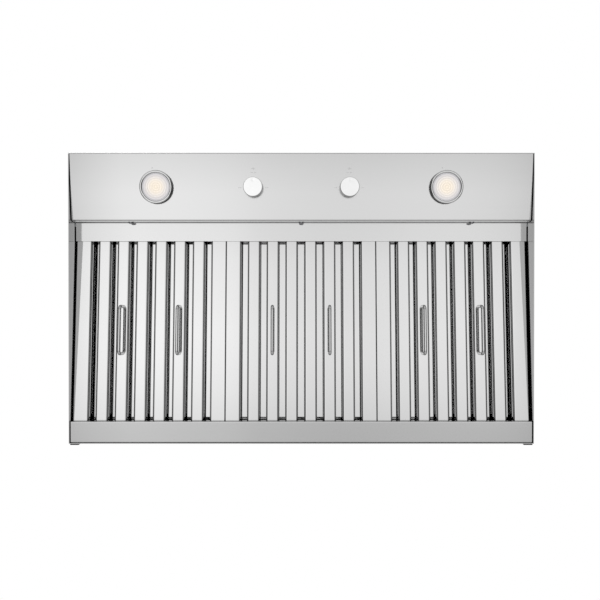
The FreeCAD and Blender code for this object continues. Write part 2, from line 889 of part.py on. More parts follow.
def slot_ends():
    """Tongues of the end channels, turned up to close both ends of every slot."""
    thick = size("filter_sheet")
    end = size("slot_end")
    start = size("filter_end_lip") - 3 * thick
    top = thick + size("baffle_wall")
    section = [(start, thick), (end, thick), (end, top), (end - thick, top), (end - thick, 2 * thick),
               (start, 2 * thick)]
    far = [(FILTER_LENGTH - u, v) for u, v in section]
    wide = size("slot_width") - 2 * size("slot_end_gap")
    bend = size("baffle_bend")
    tongues = []
    for points in (section, far):
        for slot in range(SIZES["slot_count"]):
            tongue = folded("YZ", points, wide, [(bend, [1]), (bend - thick, [4])])
            tongues.append(place(tongue, (end_flat() + size("slot_width") / 2 + slot * SLOT_PITCH, 0, 0)))
    return tongues


def baffle_row(count, first, section, bend):
    """A row of equal channels, repeated across the filter at the pitch of the slots."""
    thick = size("filter_sheet")
    body = new_body()
    sketch = new_sketch(body, "XZ")
    outline(sketch, section)
    feature = padded(body, sketch, FILTER_LENGTH - 2 * thick, both_ways=True)
    doc.recompute()
    for radius, corners in ((bend, (0, 1)), (bend - thick, (4, 5))):
        names = []
        for corner in corners:
            names += corner_edges(feature.Shape, "XZ", section[corner])
        feature = rounded(body, feature, names, radius)
    pattern = body.newObject("PartDesign::LinearPattern", "Row")
    pattern.Originals = []
    pattern.TransformMode = "Whole shape"
    pattern.Direction = (origin_part(body, "X_Axis"), [""])
    pattern.Mode = "Spacing"
    bind(pattern, "Offset", SLOT_PITCH)
    bind(pattern, "Occurrences", count)
    body.Tip = pattern
    return grouped(place(body, (first, FILTER_LENGTH / 2, 0)))


def channel_section(half, face, wall, up):
    """Section of a baffle channel about its middle: its outer face, and walls that go up (1) or down (-1)."""
    thick = size("filter_sheet")
    end = face + up * wall
    floor = face + up * thick
    return [(-half, face), (half, face), (half, end), (half - thick, end), (half - thick, floor),
            (thick - half, floor), (thick - half, end), (-half, end)]


def lower_baffles():
    section = channel_section(size("baffle_width") / 2, size("filter_sheet"), size("baffle_wall"), 1)
    first = end_flat() + SLOT_PITCH - size("baffle_width") / 2
    return baffle_row(size("slot_count") - 1, first, section, size("baffle_bend"))


def upper_baffles():
    face = size("filter_height") - size("filter_sheet")
    section = channel_section(size("upper_width") / 2, face, size("upper_wall"), -1)
    first = end_flat() + size("slot_width") / 2
    return baffle_row(size("slot_count"), first, section, size("upper_bend"))


def wire_handle(x):
    """A bent wire handle that stands on the lower face of a baffle."""
    radius = size("handle_wire") / 2
    bend = size("handle_bend")
    length = size("handle_length") - 2 * radius
    drop = size("handle_height") - radius
    top = size("filter_sheet")
    body = new_body()
    path = new_sketch(body, "YZ")
    start, end = -length.value / 2, length.value / 2
    low = -drop.value
    r = bend.value
    path.addGeometry(Part.LineSegment(V(start, top.value, 0), V(start, low + r, 0)))
    path.addGeometry(Part.ArcOfCircle(Part.Circle(V(start + r, low + r, 0), Z_AXIS, r), math.pi, 1.5 * math.pi))
    path.addGeometry(Part.LineSegment(V(start + r, low, 0), V(end - r, low, 0)))
    path.addGeometry(Part.ArcOfCircle(Part.Circle(V(end - r, low + r, 0), Z_AXIS, r), 1.5 * math.pi, 2 * math.pi))
    path.addGeometry(Part.LineSegment(V(end, low + r, 0), V(end, top.value, 0)))
    section = new_sketch(body, "XY")
    section.AttachmentOffset = FreeCAD.Placement(V(0, 0, top.value), FreeCAD.Rotation())
    ring(section, radius, (0, -length / 2))
    pipe = body.newObject("PartDesign::AdditivePipe", "Wire")
    pipe.Profile = section
    pipe.Spine = path
    return place(body, (x, FILTER_LENGTH / 2, 0))


def handles():
    """Two handles, each on the baffle between the second and third slots from its end."""
    first = end_flat() + 2 * SLOT_PITCH - size("baffle_width") / 2
    return grouped(wire_handle(first), wire_handle(FILTER_WIDTH - first))


def baffle_filter(name, index):
    """One filter's pieces, made at its low front left corner and set onto the rails."""
    x = -INSIDE / 2 + size("filter_left_gap") + index * (FILTER_WIDTH + size("filter_gap"))
    back = size("filter_overlap")
    at = (x, FRONT + size("rail_depth") - back * cosine(FILTER_ANGLE), FILTER_FRONT_Z + back * sine(FILTER_ANGLE))
    for part, item in (("frame", filter_frame()), ("lower_baffles", lower_baffles()),
                       ("upper_baffles", upper_baffles()), ("handles", handles())):
        node("%s_filter_%s" % (name, part), item, at, X_AXIS, -FILTER_ANGLE)


# ---------------------------------------------------------------- blower box, collar and damper

def blower_box():
    """The raised box over the deck's opening, with its foot flange and the hole under the collar."""
    wide = size("blower_box_width")
    deep = size("blower_box_depth")
    foot = size("box_foot")
    front = BOX_Y - deep / 2
    shell = box((wide, deep, BODY_TOP - DECK_TOP), (-wide / 2, front, DECK_TOP))
    flange = box((wide + 2 * foot, deep + 2 * foot, BOX_SHEET), (-wide / 2 - foot, front - foot, DECK_TOP))
    room = box((wide - 2 * BOX_SHEET, deep - 2 * BOX_SHEET, MOUTH_TOP - DECK_TOP + SHEET),
               (BOX_SHEET - wide / 2, front + BOX_SHEET, DECK_TOP - SHEET))
    hole = rod(size("collar_diameter") / 2 - size("collar_stop"), 4 * SHEET, (0, COLLAR_Y, MOUTH_TOP - SHEET))
    places = box_foot_places() + collar_screw_places() + outlet_screw_places()
    body = cut(fused(shell, flange), room, hole, *screw_holes(places))
    doc.recompute()
    fillet = doc.addObject("Part::Fillet", "Corners")
    fillet.Base = body
    corners = []
    for index, edge in enumerate(body.Shape.Edges, start=1):
        ends = [vertex.Point for vertex in edge.Vertexes]
        upright = abs(ends[0].z - ends[-1].z) > number(BODY_TOP - DECK_TOP) / 2
        outside = all(abs(abs(end.x) - number(wide) / 2) < 1e-4 for end in ends)
        if upright and outside:
            corners.append((index, BEND.value, BEND.value))
    fillet.Edges = corners
    node("blower_box", fillet)


def box_foot_places():
    """Where screws hold the foot of the blower box down on the deck."""
    wide = size("blower_box_width") / 2 + size("box_foot") / 2
    deep = size("blower_box_depth") / 2 + size("box_foot") / 2
    top = DECK_TOP + BOX_SHEET
    places = []
    for x in (-1, 0, 1):
        for y in (-1, 1):
            places.append((x * wide * 0.8, BOX_Y + y * deep, top))
    for x in (-1, 1):
        places.append((x * wide, BOX_Y, top))
    return places


def duct_collar():
    """The round collar: foot flange, inner stop for the flaps, stop bead for the duct, and pin holes."""
    outer = size("collar_diameter") / 2
    inner = outer - BOX_SHEET
    stop = outer - size("collar_stop") - BOX_SHEET
    high = size("collar_height")
    bead = size("collar_bead_height")
    proud = size("collar_bead")
    points = [(stop, 0), (outer + size("collar_flange"), 0), (outer + size("collar_flange"), SHEET),
              (outer, SHEET), (outer, bead - 2 * proud), (outer + proud, bead - 1.25 * proud),
              (outer + proud, bead - 0.75 * proud), (outer, bead), (outer, high), (inner, high),
              (inner, SHEET), (stop, SHEET)]
    holes = []
    for side in (-1, 1):
        at = (-outer - SHEET, side * size("pin_offset"), size("pin_height"))
        holes.append(rod_x(size("pin_diameter") / 2 + size("running_gap"), 2 * outer + 2 * SHEET, at))
    for x, y, z in collar_screw_places():
        holes += screw_holes([(x, y - COLLAR_Y, SHEET)])
    node("duct_collar", cut(turned(points), *holes), (0, COLLAR_Y, BODY_TOP))


def damper_pins():
    outer = size("collar_diameter") / 2
    pins = []
    for side in (-1, 1):
        at = (-outer - SHEET, side * size("pin_offset"), size("pin_height"))
        pins.append(rod_x(size("pin_diameter") / 2, 2 * outer + 2 * SHEET, at))
    node("damper_pins", grouped(*pins), (0, COLLAR_Y, BODY_TOP))


def damper_flap(label, side):
    """A half-round flap with its rolled knuckle, lying just over the collar's stop."""
    knuckle = size("knuckle_diameter") / 2
    pin = side * size("pin_offset")
    level = size("pin_height") - knuckle
    reach = size("collar_diameter") / 2 - BOX_SHEET - size("flap_clearance")
    disc = rod(reach, BOX_SHEET, (0, 0, level))
    low = pin if side > 0 else pin - reach
    half = common(disc, box((2 * reach, reach, BOX_SHEET), (-reach, low, level)))
    length = 2 * reach - 4 * knuckle
    tube = rod_x(knuckle, length, (-length / 2, pin, size("pin_height")))
    bore = rod_x(size("pin_diameter") / 2 + size("running_gap"), 2 * reach, (-reach, pin, size("pin_height")))
    node(label, cut(fused(half, tube), bore), (0, COLLAR_Y, BODY_TOP))


def collar_screw_places():
    """Where screws hold the collar's flange down on the top of the blower box."""
    radius = (size("collar_diameter") + size("collar_flange")) / 2
    places = []
    for step in range(6):
        turn = math.radians(30 + 60 * step)
        places.append((radius * math.cos(turn), COLLAR_Y + radius * math.sin(turn), BODY_TOP + SHEET))
    return places


# ---------------------------------------------------------------- blower

def at_wheel(label, item):
    node(label, item, (0, WHEEL_Y, WHEEL_Z))


def scroll_path(sketch, offset):
    """Adds the scroll's line, set outward by an offset: mouth, tongue, three growing arcs and back wall."""
    growth = SCROLL_STEP.value
    radius = size("scroll_radius").value
    tongue = size("tongue_offset").value
    curve = size("tongue_radius").value
    top = number(size("mouth_height") + SCROLL_TOP)
    roof = SCROLL_TOP.value
    half = growth / 2
    inner_wall = tongue - offset
    add = sketch.addGeometry
    add(Part.LineSegment(V(inner_wall, top, 0), V(inner_wall, roof + curve, 0)))
    add(Part.ArcOfCircle(Part.Circle(V(tongue - curve, roof + curve, 0), Z_AXIS, curve - offset),
                         -math.pi / 2, 0))
    add(Part.LineSegment(V(tongue - curve, roof + offset, 0), V(-half, roof + offset, 0)))
    centres = [(-half, -half), (half, -half), (half, half)]
    for turn, (u, v) in enumerate(centres):
        start = math.pi / 2 * (turn + 1)
        arc = Part.Circle(V(u, v, 0), Z_AXIS, radius + turn * growth + offset)
        add(Part.ArcOfCircle(arc, start, start + math.pi / 2))
    back = SCROLL_BACK.value + offset
    add(Part.LineSegment(V(back, half, 0), V(back, top, 0)))
    return inner_wall, back, top


def scroll_wrapper():
    body = new_body()
    sketch = new_sketch(body, "YZ")
    near, back, top = scroll_path(sketch, 0)
    near_out, back_out, top = scroll_path(sketch, SCROLL_SHEET.value)
    sketch.addGeometry(Part.LineSegment(V(near, top, 0), V(near_out, top, 0)))
    sketch.addGeometry(Part.LineSegment(V(back, top, 0), V(back_out, top, 0)))
    padded(body, sketch, size("scroll_width") - 2 * SCROLL_SHEET, both_ways=True)
    at_wheel("scroll_wrapper", body)


def scroll_side(label, side):
    """A side of the scroll: the same outline as the wrapper, with the round inlet in it."""
    body = new_body()
    sketch = new_sketch(body, "YZ")
    near, back, top = scroll_path(sketch, SCROLL_SHEET.value)
    sketch.addGeometry(Part.LineSegment(V(near, top, 0), V(back, top, 0)))
    ring(sketch, size("inlet_diameter") / 2 + size("inlet_curve"))
    padded(body, sketch, SCROLL_SHEET, both_ways=True)
    x = side * (size("scroll_width") - SCROLL_SHEET) / 2
    node(label, body, (x, WHEEL_Y, WHEEL_Z))


def inlet_ring(label, side):
    """A bell-mouthed inlet: a flange on the scroll's side that curves into the wheel's eye."""
    throat = size("inlet_diameter") / 2
    curve = size("inlet_curve")
    flange = throat + curve + size("inlet_flange")
    body = new_body()
    sketch = new_sketch(body, "XZ")
    r, c, s, f = throat.value, curve.value, SCROLL_SHEET.value, flange.value
    add = sketch.addGeometry
    add(Part.LineSegment(V(f, 0, 0), V(f, s, 0)))
    add(Part.LineSegment(V(f, s, 0), V(r + c, s, 0)))
    add(Part.ArcOfCircle(Part.Circle(V(r + c, s - c, 0), Z_AXIS, c), math.pi / 2, math.pi))
    add(Part.LineSegment(V(r, s - c, 0), V(r + s, s - c, 0)))
    add(Part.ArcOfCircle(Part.Circle(V(r + c, s - c, 0), Z_AXIS, c - s), math.pi / 2, math.pi))
    add(Part.LineSegment(V(r + c, 0, 0), V(f, 0, 0)))
    turn = body.newObject("PartDesign::Revolution", "Revolution")
    turn.Profile = sketch
    turn.ReferenceAxis = (sketch, ["V_Axis"])
    turn.Angle = 360
    x = side * size("scroll_width") / 2
    node(label, body, (x, WHEEL_Y, WHEEL_Z), Y_AXIS, 90 * side)


def outlet_flange():
    """The frame round the scroll's mouth, screwed up against the top of the blower box."""
    wide = size("scroll_width")
    near = size("tongue_offset") - SCROLL_SHEET
    deep = SCROLL_BACK + SCROLL_SHEET - near
    lip = size("mouth_flange")
    drop = size("mouth_collar")
    plate = box((wide + 2 * lip, deep + 2 * lip, SHEET), (-wide / 2 - lip, WHEEL_Y + near - lip, MOUTH_TOP - SHEET))
    collar = box((wide + 2 * SHEET, deep + 2 * SHEET, drop),
                 (-wide / 2 - SHEET, WHEEL_Y + near - SHEET, MOUTH_TOP - drop))
    hole = box((wide, deep, 3 * drop), (-wide / 2, WHEEL_Y + near, MOUTH_TOP - 2 * drop))
    node("blower_outlet_flange", cut(fused(plate, collar), hole, *screw_holes(outlet_screw_places())))


def outlet_screw_places():
    """The corners of the blower's outlet flange, where short screws hold it up from below."""
    shift = size("mouth_flange") / 2
    wide = size("scroll_width") / 2 + shift
    near = size("tongue_offset") - SCROLL_SHEET - shift
    far = SCROLL_BACK + SCROLL_SHEET + shift
    return [(x, WHEEL_Y + y, MOUTH_TOP - SHEET) for x in (-wide, wide) for y in (near, far)]


def sheet_metal_screws():
    """The screws that look alike: blower box to deck, collar to box, blower to box, junction cover."""
    down = screws(box_foot_places() + collar_screw_places())
    up = grouped(*[place(screw_up(), at) for at in outlet_screw_places()])
    node("sheet_metal_screws", grouped(down, up, junction_cover_screws()))


def screw_up():
    """A short screw that points up, and ends flush with the top of the blower box."""
    radius = size("screw_head") / 2
    shank = size("screw_shank") / 2
    height = size("screw_head_height")
    reach = SHEET + BOX_SHEET
    return turned([(0, -height), (radius * 0.6, -height), (radius, -height * 0.45), (radius, 0), (shank, 0),
                   (shank, reach), (0, reach)])


def blade_outline(sketch):
    """One forward-curved blade, from the wheel's eye to its rim, as two arcs and two short ends."""
    outer = size("wheel_diameter").value / 2
    inner = outer - size("blade_depth").value
    middle = (inner + outer) / 2
    lead = size("blade_lead").value
    thick = math.degrees(size("blade_sheet").value / middle)

    def spot(radius, degrees):
        turn = math.radians(degrees)
        return V(radius * math.cos(turn), radius * math.sin(turn), 0)

    for shift in (0, thick):
        sketch.addGeometry(Part.Arc(spot(inner, shift), spot(middle, lead * 0.2 + shift), spot(outer, lead + shift)))
    sketch.addGeometry(Part.LineSegment(spot(inner, 0), spot(inner, thick)))
    sketch.addGeometry(Part.LineSegment(spot(outer, lead), spot(outer, lead + thick)))


def blower_wheel():
    """The double-inlet wheel: curved blades on a centre plate, a hub, and a ring round each end."""
    outer = size("wheel_diameter") / 2
    wide = size("wheel_width")
    body = new_body()
    sketch = new_sketch(body, "YZ")
    blade_outline(sketch)
    blade = padded(body, sketch, wide, both_ways=True)
    pattern = body.newObject("PartDesign::PolarPattern", "Blades")
    pattern.Originals = [blade]
    pattern.Axis = (origin_part(body, "X_Axis"), [""])
    pattern.Angle = 360
    bind(pattern, "Occurrences", size("blade_count"))
    body.Tip = pattern
    plate = new_sketch(body, "YZ")
    ring(plate, outer - size("blade_depth") / 2)
    padded(body, plate, size("wheel_plate"), both_ways=True)
    hub = new_sketch(body, "YZ")
    ring(hub, size("hub_diameter") / 2)
    padded(body, hub, size("hub_length"), both_ways=True)
    reach = size("wheel_ring_width")
    rings = []
    for side in (-1, 1):
        start = wide / 2 - reach if side > 0 else -wide / 2
        band = rod_x(outer + size("wheel_ring") / 3, reach, (start, 0, 0))
        hollow = rod_x(outer - size("wheel_ring"), 3 * reach, (start - reach, 0, 0))
        rings.append(cut(band, hollow))
    bore = rod_x(size("motor_shaft") / 2 + size("running_gap"), 2 * size("hub_length"), (-size("hub_length"), 0, 0))
    at_wheel("blower_wheel", cut(fused(body, *rings), bore))
    start = -size("hub_length") / 2 - size("motor_gap") - size("motor_length") / 2
    at_wheel("motor_shaft", rod_x_piece(size("motor_shaft") / 2, start, size("hub_length") / 2))


def rod_x_piece(radius, low, high):
    """A round bar along X between two places, as one node."""
    body = new_body()
    sketch = new_sketch(body, "YZ")
    ring(sketch, radius)
    sketch.AttachmentOffset = FreeCAD.Placement(V(0, 0, number(low)), FreeCAD.Rotation())
    bind(sketch, "AttachmentOffset.Base.z", low)
    padded(body, sketch, high - low)
    return body


def blower_motor():
    """The motor: a ribbed case with two end bells, set inside the wheel's left half."""
    outer = size("motor_diameter") / 2
    length = size("motor_length")
    bell = length / 5
    step = outer - 2
    points = [(0, 0), (outer * 0.45, 0), (outer * 0.85, bell / 3), (step, bell), (outer, bell),
              (outer, length - bell), (step, length - bell), (outer * 0.85, length - bell / 3),
              (outer * 0.45, length), (0, length)]
    case = place(turned(points), (-size("hub_length") / 2 - size("motor_gap"), 0, 0), Y_AXIS, -90)
    bore = rod_x(size("motor_shaft") / 2 + size("running_gap"), length, (-size("hub_length") / 2 - length, 0, 0))
    at_wheel("blower_motor", cut(case, bore))


def motor_bracket():
    """Three arms that carry the motor's band from the left side of the scroll."""
    sheet = size("bracket_sheet")
    inner = size("motor_diameter") / 2
    band = size("bracket_band")
    plane = -size("scroll_width") / 2
    band_start = -size("hub_length") / 2 - size("motor_gap") - size("motor_length") * 0.8
    reach = size("inlet_diameter") / 2 + size("inlet_curve") + size("inlet_flange") + 3
    parts = [rod_x(inner + sheet, band, (band_start, 0, 0))]
    arm = size("bracket_arm")
    for turn in (90, 210, 330):
        strip = box((sheet, arm, reach + size("bracket_foot") - inner), (band_start, -arm / 2, inner))
        riser = box((plane - band_start, arm, sheet), (band_start, -arm / 2, reach))
        foot = box((sheet, arm, size("bracket_foot")), (plane - sheet, -arm / 2, reach))
        piece = fused(strip, riser, foot)
        parts.append(place(piece, (0, 0, 0), X_AXIS, turn))
    hollow = rod_x(inner, 3 * band, (band_start - band, 0, 0))
    at_wheel("motor_bracket", cut(fused(*parts), hollow))


def run_capacitor():
    """The motor's capacitor, in a clip on the left wall of the blower box."""
    radius = size("capacitor_diameter") / 2
    tall = size("capacitor_height")
    wall = -size("blower_box_width") / 2 + BOX_SHEET
    x = wall + radius + 2 * BOX_SHEET
    y = BOX_Y - size("blower_box_depth") / 4
    z = MOUTH_TOP - tall - size("box_foot")
    can = rod(radius, tall, (0, 0, 0))
    lugs = [box((6, 0.8, 8), (side * radius / 2 - 3, 0, tall)) for side in (-1, 1)]
    node("run_capacitor", fused(can, *lugs), (x, y, z))
    wide = radius
    band = cut(rod(radius + BOX_SHEET, wide, (0, 0, 0)), rod(radius, 3 * wide, (0, 0, -wide)))
    tab = box((BOX_SHEET, 2 * radius, wide), (wall - x, -radius, 0))
    node("capacitor_clip", fused(band, tab), (x, y, z + tall / 3))


# ---------------------------------------------------------------- mains connection

def junction_box():
    wide = size("junction_width")
    deep = size("junction_depth")
    tall = size("junction_height")
    x = JUNCTION_X
    y = JUNCTION_Y
    shell = box((wide, deep, tall), (x - wide / 2, y - deep / 2, DECK_TOP))
    room = box((wide - 2 * BOX_SHEET, deep - 2 * BOX_SHEET, tall),
               (x - wide / 2 + BOX_SHEET, y - deep / 2 + BOX_SHEET, DECK_TOP + BOX_SHEET))
    inlet = rod_x(size("inlet_hole") / 2, 4 * BOX_SHEET, (x + wide / 2 - 2 * BOX_SHEET, y, DECK_TOP + tall / 2))
    wires = rod(size("wire_hole") / 2, 4 * BOX_SHEET, (x, y, DECK_TOP - BOX_SHEET))
    node("junction_box", cut(shell, room, inlet, wires))
    lip = size("cover_lip")
    lid = box((wide + 2 * BOX_SHEET, deep + 2 * BOX_SHEET, lip + BOX_SHEET),
              (x - wide / 2 - BOX_SHEET, y - deep / 2 - BOX_SHEET, DECK_TOP + tall - lip))
    inner = box((wide, deep, 2 * lip), (x - wide / 2, y - deep / 2, DECK_TOP + tall - 2 * lip))
    node("junction_box_cover", cut(lid, inner))


def junction_cover_screws():
    """A screw in the front and one in the rear edge of the junction box's cover."""
    pair = []
    for side in (-1, 1):
        y = JUNCTION_Y + side * (size("junction_depth") / 2 + BOX_SHEET)
        z = DECK_TOP + size("junction_height") - size("cover_lip") / 2
        pair.append(place(small_screw(), (JUNCTION_X, y, z), X_AXIS, -90 * side))
    return grouped(*pair)


def small_screw():
    """A low screw head as it sits on a cover; its thread is inside the sheet."""
    radius = size("screw_head") / 3
    height = size("screw_head_height") / 2
    return turned([(0, 0), (radius, 0), (radius, height / 2), (radius / 2, height), (0, height)])


def wire_grommet():
    """The rubber ring round the wires where they pass through the deck."""
    hole = size("wire_hole") / 2
    thick = SHEET + BOX_SHEET
    gap = size("running_gap")
    inner = hole - 3
    outer = hole + 2
    points = [(inner, -1.5), (outer, -1.5), (outer, -gap), (hole - gap, -gap), (hole - gap, thick + gap),
              (outer, thick + gap), (outer, thick + 1.5), (inner, thick + 1.5)]
    node("wire_grommet", turned(points), (JUNCTION_X, JUNCTION_Y, DECK))


def control_cable():
    """The sheathed cable from the control box, along under the deck and up into the junction box."""
    radius = size("cable_diameter") / 2
    bend = size("cable_bend")
    tail = size("cable_tail")
    start = FRONT + size("panel_depth") - tail
    low = size("cable_exit")
    high = DECK - 3 * radius
    turn = FRONT + size("panel_depth") + tail
    end = DECK_TOP + tail
    body = new_body()
    path = new_sketch(body, "YZ")
    cable_path(path, [number(item) for item in (start, turn, JUNCTION_Y, low, high, end, bend)])
    section = new_sketch(body, "XZ")
    section.AttachmentOffset = FreeCAD.Placement(V(0, 0, -number(start)), FreeCAD.Rotation())
    ring(section, radius, (0, low))
    pipe = body.newObject("PartDesign::AdditivePipe", "Cable")
    pipe.Profile = section
    pipe.Spine = path
    node("control_cable", body, (JUNCTION_X, 0, 0))


def cable_path(path, stops):
    """Adds the cable's middle line: back, up by a quarter turn each way, back again, and up at the end."""
    start, turn, rise_at, low, high, end, bend = stops
    quarter = math.pi / 2
    add = path.addGeometry
    add(Part.LineSegment(V(start, low, 0), V(turn, low, 0)))
    add(Part.ArcOfCircle(Part.Circle(V(turn, low + bend, 0), Z_AXIS, bend), -quarter, 0))
    add(Part.LineSegment(V(turn + bend, low + bend, 0), V(turn + bend, high - bend, 0)))
    add(Part.ArcOfCircle(Part.Circle(V(turn + 2 * bend, high - bend, 0), Z_AXIS, bend), quarter, 2 * quarter))
    add(Part.LineSegment(V(turn + 2 * bend, high, 0), V(rise_at - bend, high, 0)))
    add(Part.ArcOfCircle(Part.Circle(V(rise_at - bend, high + bend, 0), Z_AXIS, bend), -quarter, 0))
    add(Part.LineSegment(V(rise_at, high + bend, 0), V(rise_at, end, 0)))


# ---------------------------------------------------------------- assembly and export

def build():
    side_wall("left_side_wall", -1)
    side_wall("right_side_wall", 1)
    end_wall("front_wall", FRONT, 1)
    end_wall("rear_wall", REAR, -1)
    top_deck()
    corner_feet()
    control_panel()
    control_box_cover()
    front_filter_rail()
    rail_screws()
    grease_trough()
    lamp("left", -1)
    lamp("right", 1)
    lamp_clips()
    knob_and_switch("fan", -1)
    knob_and_switch("light", 1)
    switch_nuts()
    led_driver()
    for index, name in enumerate(("left", "middle", "right")):
        baffle_filter(name, index)
    blower_box()
    duct_collar()
    damper_pins()
    damper_flap("front_damper_flap", -1)
    damper_flap("rear_damper_flap", 1)
    scroll_wrapper()
    scroll_side("left_scroll_side", -1)
    scroll_side("right_scroll_side", 1)
    inlet_ring("left_inlet_ring", -1)
    inlet_ring("right_inlet_ring", 1)
    outlet_flange()
    blower_wheel()
    blower_motor()
    motor_bracket()
    run_capacitor()
    junction_box()
    wire_grommet()
    control_cable()
    sheet_metal_screws()


def check():
    """Stops before anything is written if any object failed or any piece is not sound."""
    broken = [item.Label for item in doc.Objects if "Invalid" in item.State or "Error" in item.State]
    for label, item in nodes.items():
        if item.Shape.isNull() or not item.Shape.isValid() or not item.Shape.Solids:
            broken.append(label)
    if broken:
        raise RuntimeError("failed: " + ", ".join(broken))


def export():
    for label, item in nodes.items():
        item.Shape.exportStep("parts/%s.step" % label)


build()
doc.recompute()
check()
export()
print("%d nodes written" % len(nodes))
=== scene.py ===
import math

import bmesh
import bpy
from mathutils import Matrix, Vector

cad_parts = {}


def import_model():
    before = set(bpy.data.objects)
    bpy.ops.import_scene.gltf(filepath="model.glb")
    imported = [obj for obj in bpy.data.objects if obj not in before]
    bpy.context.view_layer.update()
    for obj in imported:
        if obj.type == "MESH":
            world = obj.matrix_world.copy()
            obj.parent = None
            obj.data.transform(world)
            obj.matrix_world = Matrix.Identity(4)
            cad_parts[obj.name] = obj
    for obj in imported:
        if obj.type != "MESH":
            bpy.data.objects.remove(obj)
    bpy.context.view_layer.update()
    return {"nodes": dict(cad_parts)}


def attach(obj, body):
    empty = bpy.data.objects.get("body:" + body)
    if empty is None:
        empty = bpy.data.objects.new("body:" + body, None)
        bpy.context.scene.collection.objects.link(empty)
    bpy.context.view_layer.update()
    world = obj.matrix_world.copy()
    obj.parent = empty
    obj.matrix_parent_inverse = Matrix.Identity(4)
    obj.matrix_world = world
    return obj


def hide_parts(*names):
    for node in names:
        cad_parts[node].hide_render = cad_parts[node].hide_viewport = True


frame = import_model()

SIDES = ("left", "middle", "right")
RIM = 0.0109181          # height of the hood's lower edge above the faces of the knobs
FRONT = -0.276           # outer face of the front wall
PANEL_SLOPE = math.radians(4.128)
FILTER_SLOPE = math.radians(3.242)
# Places on the panel: distances from the middle and behind the front, and height over the lower edge.
LAMP = (0.27425, 0.0638, 0.004518)
KNOB = (0.09075, 0.0645, 0.004568)
LENS_RADIUS = 0.0272


# ---------------------------------------------------------------- nodes for materials

class Paint:
    """A node material that is put together step by step."""

    def __init__(self, name, colour, metallic=0.0, roughness=0.5, **sockets):
        self.material = bpy.data.materials.new(name)
        self.material.use_nodes = True
        self.tree = self.material.node_tree
        self.shader = self.tree.nodes["Principled BSDF"]
        self.set("Base Color", (*colour, 1.0))
        self.set("Metallic", metallic)
        self.set("Roughness", roughness)
        for socket, value in sockets.items():
            self.set(socket.replace("_", " "), value)
        self.place = self.add("ShaderNodeTexCoord").outputs["Object"]

    def add(self, kind, **values):
        made = self.tree.nodes.new(kind)
        for key, value in values.items():
            setattr(made, key, value)
        return made

    def link(self, source, target):
        self.tree.links.new(source, target)

    def set(self, socket, value):
        self.shader.inputs[socket].default_value = value

    def mapped(self, scale=(1, 1, 1), location=(0, 0, 0), turn=(0, 0, 0)):
        made = self.add("ShaderNodeMapping")
        made.inputs["Location"].default_value = location
        made.inputs["Rotation"].default_value = turn
        made.inputs["Scale"].default_value = scale
        self.link(self.place, made.inputs["Vector"])
        return made.outputs["Vector"]

    def noise(self, vector, scale=1.0, detail=3.0, rough=0.5):
        made = self.add("ShaderNodeTexNoise")
        made.inputs["Scale"].default_value = scale
        made.inputs["Detail"].default_value = detail
        made.inputs["Roughness"].default_value = rough
        self.link(vector, made.inputs["Vector"])
        return made.outputs["Fac"]

    def spread(self, value, low, high, start=0.0, end=1.0):
        """Maps a value from start..end to low..high."""
        made = self.add("ShaderNodeMapRange")
        for key, number in (("From Min", start), ("From Max", end), ("To Min", low), ("To Max", high)):
            made.inputs[key].default_value = number
        self.link(value, made.inputs["Value"])
        return made.outputs["Result"]

    def maths(self, rule, first, second=None, third=None):
        made = self.add("ShaderNodeMath", operation=rule)
        for socket, value in zip(made.inputs, (first, second, third)):
            if isinstance(value, (int, float)):
                socket.default_value = value
            elif value is not None:
                self.link(value, socket)
        return made.outputs[0]

    def ramp(self, value, stops):
        made = self.add("ShaderNodeValToRGB")
        band = made.color_ramp
        while len(band.elements) < len(stops):
            band.elements.new(0.5)
        for element, (place, colour) in zip(band.elements, stops):
            element.position = place
            element.color = (*colour, 1.0)
        self.link(value, made.inputs["Fac"])
        return made.outputs["Color"]

    def tinted(self, value, dark, light, start=0.3, end=0.7):
        """Colours the surface between two colours as a value runs from start to end."""
        self.link(self.ramp(value, [(start, dark), (end, light)]), self.shader.inputs["Base Color"])

    def rough(self, value):
        self.link(value, self.shader.inputs["Roughness"])

    def bumped(self, value, depth, strength=1.0):
        made = self.add("ShaderNodeBump")
        made.inputs["Strength"].default_value = strength
        made.inputs["Distance"].default_value = depth
        self.link(value, made.inputs["Height"])
        self.link(made.outputs["Normal"], self.shader.inputs["Normal"])


def shade(colour, amount):
    return tuple(channel * amount for channel in colour)


